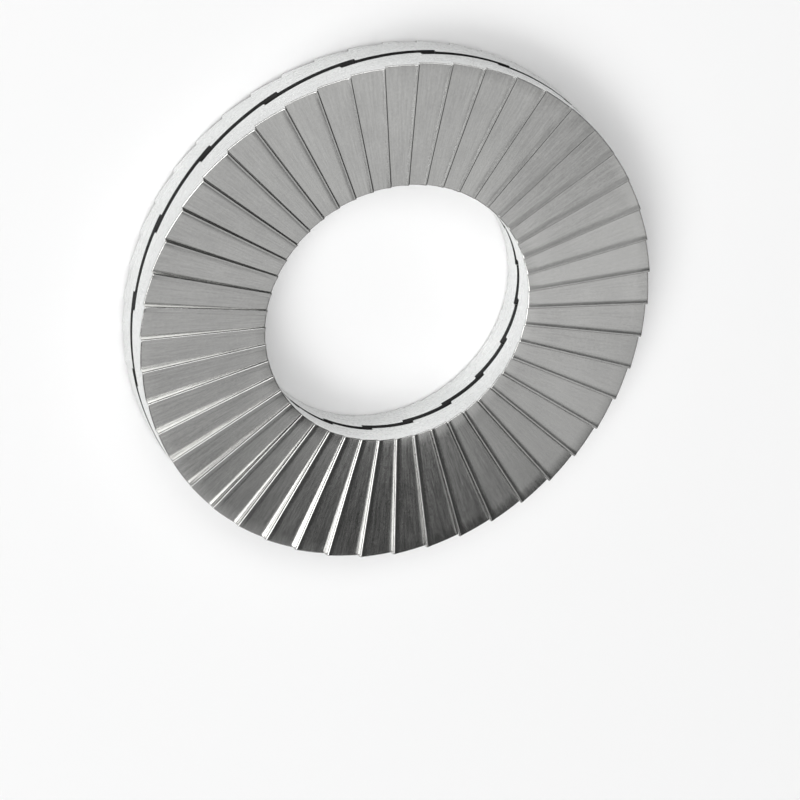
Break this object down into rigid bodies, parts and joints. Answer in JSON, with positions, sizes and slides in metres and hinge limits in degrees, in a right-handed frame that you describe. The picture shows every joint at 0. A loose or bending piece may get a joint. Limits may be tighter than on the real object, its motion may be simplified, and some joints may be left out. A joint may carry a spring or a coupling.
{
  "type": "wedge lock washer pair",
  "caption": "Pair of flat round washers with radial teeth on the outward faces and wedge cams between them, which locks a bolted joint.",
  "frame": {"origin": "centre of the lower toothed face, in the plane of its tooth crests", "axes": "+Z along the bolt, from the lower toothed face to the upper one; +X through the first tooth flank of the upper washer"},
  "size_m": [0.021, 0.021, 0.0025],
  "materials": {
    "washer_steel": "satin bare steel with a fine radial grain on the teeth and grain round the rim and bore"
  },
  "bodies": {
    "root": {"upper_washer": "washer_steel", "lower_washer": "washer_steel"}
  },
  "joints": []
}
